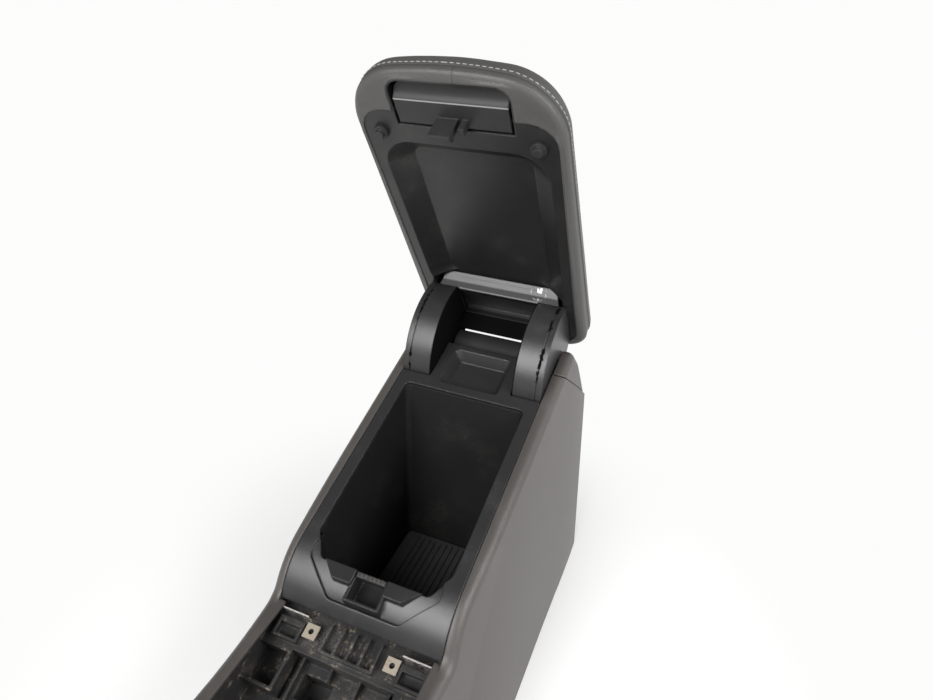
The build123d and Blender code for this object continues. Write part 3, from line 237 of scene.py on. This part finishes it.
def plastic(name, colour, roughness, grain=1500.0, grain_depth=0.00012, dust=0.12, gleam=0.5, edge=0.0018):
    material, shader, place = new_material(name)
    drift = place.noise(7.0, 5.0, 0.6)
    specks = place.noise(900.0, 2.0)
    film = place.noise(14.0, 6.0, 0.65).smooth(0.5, 0.78) * specks.smooth(0.35, 0.7) * dust
    shade = drift.between([c * 0.7 for c in colour], [c * 1.3 for c in colour])
    shader_in = shader.inputs
    shader_in["Specular IOR Level"].default_value = gleam
    place.feed(shader_in["Base Color"], film.between(shade, dust_colour))
    place.feed(shader_in["Roughness"], roughness + (drift - 0.5) * 0.14 + film * 0.5)
    height = place.cells(grain) * 0.7 + place.noise(grain * 2.3, 2.0) * 0.3
    place.feed(shader_in["Normal"], relief(place, height, grain_depth, edge))
    return material, shader, place


materials = {}
for name, colour, roughness, grain, depth, dust, gleam in (
    ("trim_plastic", (0.020, 0.020, 0.021), 0.34, 1700.0, 0.00008, 0.10, 0.5),
    ("liner_plastic", (0.009, 0.009, 0.009), 0.55, 1300.0, 0.00010, 0.08, 0.15),
    ("keeper_plastic", (0.05, 0.048, 0.046), 0.45, 1500.0, 0.00006, 0.30, 0.5),
    ("lid_plastic", (0.011, 0.011, 0.011), 0.36, 1900.0, 0.00006, 0.10, 0.45),
):
    materials[name] = plastic(name, colour, roughness, grain, depth, dust, gleam)[0]
print(len(materials), "plastics")

# %% [markdown]
# ## Worn pieces, with painted shade and a painted highlight
# The arm covers are torn black in places along the seam between front and side covers. The strip above them has
# white rubs at its right and painted shade along its foot, and the pocket between the arms has painted shade too.
# The barrel under the hinge is darker than the panels, the lever's ridge has a painted highlight, and grit lies in
# the front bay.

# %% Arm covers
arm_seam = 69.5 * mm
pocket_half = 47 * mm
soft_edge = 1 * mm
material, shader, place = plastic("hinge_plastic", (0.020, 0.020, 0.021), 0.32, 1700.0, 0.00007, 0.12)
across = place.axis("X").math("ABSOLUTE")
height = place.along(lid_up, lid_point(0, 0, 0))
torn_edge = (across - arm_seam).math("ABSOLUTE") - place.noise(120.0, 5.0, 0.72) * 0.012 + 0.0048
torn = torn_edge.smooth(0.0006, -0.0006) * place.noise(30.0, 2.0).smooth(0.46, 0.52)
# Painted shade: the pocket between the arms and the foot of the strip above them are turned near black.
pocket_shade = across.smooth(pocket_half, pocket_half - soft_edge) * height.smooth(0.0075, 0.0065)
strip_foot_shade = height.smooth(0.0078, 0.0084) * height.smooth(0.0140, 0.0122) * 0.7
rub_place = lid_point(44, 15.7, 16)
rub_noise = place.stretched(1.0, 0.6, 0.6).noise(210.0, 5.0, 0.6)
rubs = place.near(rub_place).smooth(0.010, 0.005) * rub_noise.smooth(0.52, 0.56)
painted(place, shader, rubs, (0.7, 0.69, 0.67))
# The near-black diffuse surface covers the torn patches, which are real damage, and the painted shade; the white
# rubs stay clear of it.
torn_and_shade_black = place.node("ShaderNodeBsdfDiffuse", Color=(0.005, 0.005, 0.005, 1.0))
torn_and_shade = torn.math("MAXIMUM", pocket_shade).math("MAXIMUM", strip_foot_shade) * (1.0 - rubs)
mixed_surface(place, shader, torn_and_shade, torn_and_shade_black)
materials["hinge_plastic"] = material

# %% Panels and the barrel under the hinge
barrel_edge = 22.5 * mm
material, shader, place = plastic("panel_plastic", (0.062, 0.056, 0.052), 0.40, 1100.0, 0.00020, 0.12)
from_pin = place.stretched(0.0, 1.0, 1.0).near((0.0, hinge.y, hinge.z))
middle = place.axis("X").math("ABSOLUTE").smooth(pocket_half, pocket_half - soft_edge)
barrel = from_pin.smooth(barrel_edge, barrel_edge - soft_edge) * middle
painted(place, shader, barrel, (0.010, 0.010, 0.010))
place.feed(shader.inputs["Roughness"], fed(place, shader.inputs["Roughness"]) + barrel * 0.3)
materials["panel_plastic"] = material

# %% Lever with a painted highlight on its ridge
ridge_ahead = (hinge_back + 225) * mm
material, shader, place = plastic("lever_plastic", (0.016, 0.016, 0.016), 0.5, 1700.0, 0.00005, 0.10, 0.4)
ahead = place.along(lid_ahead, hinge)
ridge_highlight = ahead.smooth(ridge_ahead - 0.0018, ridge_ahead - 0.0012) * ahead.smooth(ridge_ahead, ridge_ahead - 0.0004)
# Painted highlight: a light band along the ridge's edge stands in for the light that the rounded edge catches.
painted(place, shader, ridge_highlight * 0.8, (0.30, 0.30, 0.30))
materials["lever_plastic"] = material

# %% Carrier frame
material, shader, place = plastic("carrier_plastic", (0.022, 0.021, 0.021), 0.42, 1300.0, 0.00010, 0.3, 0.3)
grit = place.noise(60.0, 6.0, 0.7).smooth(0.52, 0.68) * place.noise(420.0, 3.0).smooth(0.42, 0.62)
bay = place.axis("Y").smooth(-0.22, -0.15) * 0.6 + 0.1
painted(place, shader, grit * bay, (0.26, 0.22, 0.165))
materials["carrier_plastic"] = material
print("worn plastics ready")

# %% [markdown]
# ## Rubber and metal

# %% Rubber
for name, colour, roughness in (
    ("mat_rubber", (0.036, 0.034, 0.034), 0.6),
    ("bumper_rubber", (0.012, 0.012, 0.012), 0.5),
):
    materials[name] = plastic(name, colour, roughness, 1200.0, 0.00009, 0.14)[0]


# %% Steel
def steel(name, colour, roughness, stain):
    material, shader, place = new_material(name)
    brushed = place.stretched(40.0, 900.0, 900.0).noise(1.0, 2.0)
    tarnish = place.noise(240.0, 5.0, 0.65).smooth(0.5, 0.7) * stain
    place.feed(shader.inputs["Base Color"], tarnish.between(colour, (0.16, 0.11, 0.07)))
    place.feed(shader.inputs["Metallic"], 1.0 - tarnish)
    place.feed(shader.inputs["Roughness"], roughness + brushed * 0.2 + tarnish * 0.3)
    place.feed(shader.inputs["Normal"], relief(place, brushed, 0.00002, 0.0003))
    return material


materials["zinc_steel"] = steel("zinc_steel", (0.62, 0.61, 0.58), 0.3, 0.2)
materials["clip_steel"] = steel("clip_steel", (0.72, 0.70, 0.66), 0.32, 0.45)
materials["nut_steel"] = steel("nut_steel", (0.45, 0.40, 0.33), 0.48, 0.6)
print(sorted(materials))

# %% [markdown]
# ## Leather
# Leather is a field of rounded pebbles, with creases between them and a slow change of gloss. The pad's mesh has
# an attribute that is 1 in the seam, where the thread pulls the leather down and the groove gets painted shade,
# and one that is 1 on the band below it, where a butt seam joins the band's ends as a dark line.

# %% Leather and thread
material, shader, place = new_material("lid_leather")
pebbles = place.cells(720.0, "SMOOTH_F1")
creases = place.cells(420.0, "DISTANCE_TO_EDGE").smooth(0.0, 0.12)
gloss = place.noise(18.0, 4.0)
seam = place.node("ShaderNodeAttribute", output=2, settings={"attribute_name": "seam"})
band = place.node("ShaderNodeAttribute", output=2, settings={"attribute_name": "band"})
from_joint = (place.axis("X") - 0.008).math("ABSOLUTE")
butt_seam = from_joint.smooth(0.0007, 0.0003) * place.axis("Z").smooth(0.53, 0.535) * band
shade = gloss.between((0.046, 0.045, 0.044), (0.064, 0.062, 0.060))
# Painted shade darkens the seam's groove; the butt seam is a dark joint line.
seam_shade_and_joint = seam.math("MAXIMUM", butt_seam)
place.feed(shader.inputs["Base Color"], seam_shade_and_joint.between(shade, (0.030, 0.030, 0.029)))
place.feed(shader.inputs["Roughness"], 0.40 + gloss * 0.14 + seam * 0.2)
place.feed(shader.inputs["Normal"], relief(place, creases * 0.5 - pebbles * 0.5, 0.00016))
materials["lid_leather"] = material

material, shader, place = new_material("thread")
twist = place.noise(2600.0, 2.0)
place.feed(shader.inputs["Base Color"], twist.between((0.20, 0.195, 0.18), (0.36, 0.35, 0.33)))
place.feed(shader.inputs["Roughness"], 0.6 + twist * 0.2)
materials["thread"] = material

# %% Dress the frame
for name, node in nodes.items():
    node.data.materials.clear()
    node.data.materials.append(materials[slot_of[name]])
print("dressed", len(nodes), "nodes")

# %% [markdown]
# ## The pad
# The pad is a closed skin of loops. Each loop is the lid's outline drawn in by some inset, at some height: from
# the edge of the inner panel, out under the hem, round the side, past the seam and over the crown, and back
# inside round the core. The lid narrows and thins towards its front.

# %% Lid outline
lid_half = 95
lid_front_half = 89
lid_rear = 97
lid_front = 252
bow = 11
front_corner = 52
rear_corner = 30
rim_height = 7
pad_height = 43
pad_front_height = 36
lid_length = lid_rear + lid_front
quarter = math.pi / 2
bow_radius = (lid_half**2 + bow**2) / (2 * bow)
bow_middle = bow_radius - lid_front
corner_x = lid_half - front_corner
corner_v = bow_middle - math.sqrt((bow_radius - front_corner) ** 2 - corner_x**2)
bow_angle = math.asin(corner_x / (bow_radius - front_corner))


def arc(x, v, radius, start, end, count):
    """Points on an arc without its end; angles count from the front direction towards the right."""
    steps = [start + (end - start) * i / count for i in range(count)]
    return [(x + radius * math.sin(a), v - radius * math.cos(a)) for a in steps]


def straight(first, last, count):
    """Points on a line without its end."""
    return [tuple(a + (b - a) * i / count for a, b in zip(first, last)) for i in range(count)]


def both_sides(right, rear):
    """Loop from its right half, which starts at the front's middle, and the middle of its rear."""
    return right + [(0, rear)] + [(-x, v) for x, v in reversed(right[1:])]


def narrowed(point):
    """Outline point moved in as the lid narrows to the front."""
    x, v = point
    return x * (1 - (1 - lid_front_half / lid_half) * (lid_rear - v) / (lid_length - bow)), v


def lid_loop(inset):
    """Outline of the lid drawn in by inset."""
    half = lid_half - inset
    rear = lid_rear - inset
    turn = lid_rear - rear_corner
    right = arc(0, bow_middle, bow_radius - inset, 0, bow_angle, 16)
    right += arc(corner_x, corner_v, front_corner - inset, bow_angle, quarter, 16)
    right += straight((half, corner_v), (half, turn), 48)
    right += arc(lid_half - rear_corner, turn, rear_corner - inset, quarter, 2 * quarter, 12)
    right += straight((lid_half - rear_corner, rear), (0, rear), 14)
    return [narrowed(point) for point in both_sides(right, rear)]


# %% Inner panel's outline
tongue_half = 52.5
tongue_front = 243.5
tongue_corner = 14.5
panel_half = 85
panel_front = 214
panel_rear = 88
panel_corner = 24


def panel_loop(grow):
    """Outline of the inner panel and its tongue, grown, with a point for each point of the lid's."""
    tongue = tongue_half + grow
    front = -tongue_front - grow
    shoulder = -panel_front - grow
    radius = tongue_corner + grow
    turn = panel_half - panel_corner
    right = straight((0, front), (tongue - radius, front), 16)
    right += arc(tongue - radius, front + radius, radius, 0, quarter, 6)
    right += straight((tongue, front + radius), (tongue, shoulder), 3)
    right += straight((tongue, shoulder), (turn, shoulder), 2)
    right += arc(turn, panel_corner - panel_front, panel_corner + grow, 0, quarter, 5)
    side = panel_half + grow
    right += straight((side, panel_corner - panel_front), (side, panel_rear - panel_corner), 48)
    right += arc(turn, panel_rear - panel_corner, panel_corner + grow, quarter, 2 * quarter, 12)
    right += straight((turn, panel_rear + grow), (0, panel_rear + grow), 14)
    return both_sides(right, panel_rear + grow)


print(len(lid_loop(0)), "and", len(panel_loop(0)), "points a loop")

# %% Pad skin
crown = 18
hem = 5
seam_angle = -10
stitch_angle = -3
foam_depth = 0.4


def lid_top(v):
    """Height of the pad's top, falling to the front."""
    return pad_height - (pad_height - pad_front_height) * (lid_rear - v) / lid_length


def crown_loop(degrees_up, sink=0.0):
    """Loop on the crown's rounding, sunk into it by some depth: plan points and a drop below the top."""
    angle = math.radians(degrees_up)
    radius = crown - sink
    return lid_loop(crown - radius * math.cos(angle)), crown - radius * math.sin(angle)


def hem_loop(degrees_up):
    """Loop on the hem's rounding: plan points and a height."""
    angle = math.radians(degrees_up)
    return lid_loop(hem - hem * math.cos(angle)), rim_height + hem - hem * math.sin(angle)


def mixed(first, second, share):
    return [tuple(a + (b - a) * share for a, b in zip(p, q)) for p, q in zip(first, second)]


def soft(x, v, w):
    """Small unevenness of leather over foam."""
    broad = noise.noise(Vector((x / 38, v / 38, w / 24)))
    fine = noise.noise(Vector((x / 13, v / 13, w / 10)))
    return foam_depth * (broad + 0.5 * fine)


# Loops with a height above the rim's plane, then loops with a drop below the top, then the inside
lap = 1.2
edge_steps = ((0.3, 9.8), (0.3, 7.0), (-lap, 6.9), (-lap, 6.5), (0.0, 6.2), (2.0, 6.4))
low_loops = [(panel_loop(grow), low) for grow, low in edge_steps]
low_loops += [(mixed(panel_loop(2.0), lid_loop(hem), share), 6.7) for share in (0.35, 0.7)]
low_loops += [hem_loop(angle) for angle in (90, 65, 40, 15)]
side_loops = [crown_loop(-16)]
seam_loops = [crown_loop(seam_angle + turn, sink) for turn, sink in ((-1.2, 0.1), (0.0, 0.35), (1.2, 0.1))]
crown_loops = [crown_loop(angle) for angle in (-7, stitch_angle, 5, 15, 26, 38, 50, 62, 76, 90)]
crown_loops += [(lid_loop(inset), 0) for inset in (22, 27)]
core_gap = 7.7
inside_steps = ((27, 29.2), (core_gap, 29.2), (core_gap, 20), (core_gap, 10.0))
inside_loops = [(lid_loop(inset), low) for inset, low in inside_steps]


def pad_rings(shell):
    """Rings of vertices for all loops, from the panel's edge round to the inside."""
    rings = []
    for points, height in low_loops:
        rings.append([shell.verts.new(lid_point(x, v, height)) for x, v in points])
    rounded = side_loops + seam_loops + crown_loops
    for step, (points, drop) in enumerate(rounded):
        # The last ring bounds the flat middle of the top, so it stays in one plane
        share = float(step < len(rounded) - 1)
        heights = [lid_top(v) - drop for x, v in points]
        ring = [lid_point(x, v, w + share * soft(x, v, w)) for (x, v), w in zip(points, heights)]
        rings.append([shell.verts.new(place) for place in ring])
    for points, height in inside_loops:
        rings.append([shell.verts.new(lid_point(x, v, height)) for x, v in points])
    return rings


def marked(mesh, name, first, last):
    """Attribute that is 1 at the vertices from first up to last."""
    values = [float(first <= index < last) for index in range(len(mesh.vertices))]
    mesh.attributes.new(name, "FLOAT", "POINT").data.foreach_set("value", values)


def pad_mesh():
    shell = bmesh.new()
    rings = pad_rings(shell)
    count = len(rings[0])
    top = len(rings) - len(inside_loops) - 1
    for step, first in enumerate(rings):
        if step != top:
            second = rings[(step + 1) % len(rings)]
            for i in range(count):
                j = (i + 1) % count
                shell.faces.new((first[i], first[j], second[j], second[i]))
    shell.faces.new(rings[top])
    shell.faces.new(rings[top + 1])
    bmesh.ops.recalc_face_normals(shell, faces=shell.faces)
    mesh = bpy.data.meshes.new("lid_cushion")
    shell.to_mesh(mesh)
    shell.free()
    seam_start = (len(low_loops) + len(side_loops)) * count
    marked(mesh, "band", 0, seam_start)
    marked(mesh, "seam", seam_start, seam_start + len(seam_loops) * count)
    mesh.polygons.foreach_set("use_smooth", [True] * len(mesh.polygons))
    return mesh


def add_piece(name, mesh, body, material):
    """New piece of the object at the origin, riding on a body."""
    piece = bpy.data.objects.new(name, mesh)
    bpy.context.scene.collection.objects.link(piece)
    mesh.materials.append(materials[material])
    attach(piece, body)
    return piece


cushion = add_piece("lid_cushion", pad_mesh(), "lid", "lid_leather")
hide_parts("lid_pad")
print("cushion", len(cushion.data.polygons), "faces")

# %% [markdown]
# ## Stitching
# One row of stitches runs round the lid just above the seam. Each stitch is a short six-sided spindle laid
# along the outline and pressed into the leather.

# %% Stitches
stitch_length = 3.4
stitch_pitch = 5.0
stitch_radius = 0.38


def spindle(shell, middle, along, up):
    """Six-sided spindle with blunt ends."""
    sideways = along.cross(up).normalized()
    rings = []
    for part, size in ((-0.5, 0.45), (-0.3, 1.0), (0.3, 1.0), (0.5, 0.45)):
        centre = middle + along * (part * stitch_length * mm)
        ring = []
        for k in range(6):
            turn = k * math.pi / 3
            offset = sideways * math.cos(turn) + up * math.sin(turn)
            ring.append(shell.verts.new(centre + offset * (size * stitch_radius * mm)))
        rings.append(ring)
    for first, second in zip(rings, rings[1:]):
        for k in range(6):
            shell.faces.new((first[k], first[(k + 1) % 6], second[(k + 1) % 6], second[k]))
    shell.faces.new(rings[0])
    shell.faces.new(rings[-1])


def stitch_mesh():
    shell = bmesh.new()
    path, drop = crown_loop(stitch_angle)
    angle = math.radians(stitch_angle)
    travelled = 0.0
    for first, second in zip(path, path[1:] + path[:1]):
        run = math.dist(first, second)
        along = (lid_point(*second, 0) - lid_point(*first, 0)).normalized()
        up = along.cross(lid_up) * math.cos(angle) + lid_up * math.sin(angle)
        while travelled < run:
            x, v = (a + (b - a) * travelled / run for a, b in zip(first, second))
            w = lid_top(v) - drop
            spindle(shell, lid_point(x, v, w + soft(x, v, w)) + up * (0.5 * stitch_radius * mm), along, up)
            travelled += stitch_pitch
        travelled -= run
    bmesh.ops.recalc_face_normals(shell, faces=shell.faces)
    mesh = bpy.data.meshes.new("lid_stitches")
    shell.to_mesh(mesh)
    shell.free()
    return mesh


stitches = add_piece("lid_stitches", stitch_mesh(), "lid", "thread")
print("stitches", len(stitches.data.polygons), "faces")

# %% [markdown]
# ## Stage
# A white floor that runs past the edge of the view. Near the object it takes shadows, and further off it is
# plain white to the camera, as the surround is. The light is soft: one large panel in front and to the left, one
# on the right, and a surround that is brighter low on the right than overhead.

# %% Floor
floor_mesh = bpy.data.meshes.new("floor")
shell = bmesh.new()
bmesh.ops.create_grid(shell, x_segments=1, y_segments=1, size=40.0)
shell.to_mesh(floor_mesh)
shell.free()
floor = bpy.data.objects.new("floor", floor_mesh)
bpy.context.scene.collection.objects.link(floor)
material, shader, place = new_material("floor_paper")
paper = place.noise(3.0, 3.0).between((0.93, 0.93, 0.925), (0.95, 0.95, 0.945))
place.feed(shader.inputs["Base Color"], paper)
shader.inputs["Roughness"].default_value = 0.7
seen = place.node("ShaderNodeLightPath", output="Is Camera Ray")
mirrored = place.node("ShaderNodeLightPath", output="Is Glossy Ray")
bright = place.node("ShaderNodeEmission", Color=(0.975, 0.975, 0.97, 1.0))
away = place.near((0.0, 0.0, 0.0))
whitened = (seen * away.smooth(0.12, 0.45)).math("MAXIMUM", mirrored * away.smooth(0.02, 0.2))
mixed_surface(place, shader, whitened, bright)
floor_mesh.materials.append(material)

# %% Light
world = bpy.data.worlds.new("surround")
world.use_nodes = True
sky = world.node_tree
heading = Field(sky, sky.nodes.new("ShaderNodeTexCoord").outputs["Generated"])
rise = heading.axis("Z").smooth(0.25, 0.85)
level = heading.axis("X").smooth(-0.6, 0.6).between((0.28, 0.28, 0.28), (0.95, 0.95, 0.95))
to_camera = heading.node("ShaderNodeLightPath", output="Is Camera Ray")
surround = to_camera.between(rise.between(level, (0.12, 0.12, 0.12)), (0.975, 0.975, 0.97))
heading.feed(sky.nodes["Background"].inputs["Color"], surround)
bpy.context.scene.world = world


def soft_light(name, place, target, size, power):
    lamp = bpy.data.lights.new(name, "AREA")
    lamp.shape = "SQUARE"
    lamp.size = size
    lamp.energy = power
    light = bpy.data.objects.new(name, lamp)
    light.location = place
    light.rotation_euler = (Vector(target) - Vector(place)).to_track_quat("-Z", "Y").to_euler()
    bpy.context.scene.collection.objects.link(light)


soft_light("front_left", (-0.5, -1.7, 1.6), (0, 0.05, 0.25), 1.4, 66)
soft_light("right", (2.1, -0.3, 1.5), (0, 0.05, 0.2), 1.4, 52)
print("stage ready")

# %% Camera
camera_place = Vector((214.1, -344.3, 632.3)) * mm
camera_azimuth = math.radians(23.32)
camera_fall = math.radians(32.09)
focal_pixels = 650
photo_width = 933
lens = bpy.data.cameras.new("camera")
lens.sensor_width = 36
lens.lens = focal_pixels / photo_width * lens.sensor_width
camera = bpy.data.objects.new("camera", lens)
camera.location = camera_place
camera.rotation_euler = (math.pi / 2 - camera_fall, 0, camera_azimuth)
bpy.context.scene.collection.objects.link(camera)
bpy.context.scene.camera = camera
bpy.context.scene.view_settings.view_transform = "Standard"
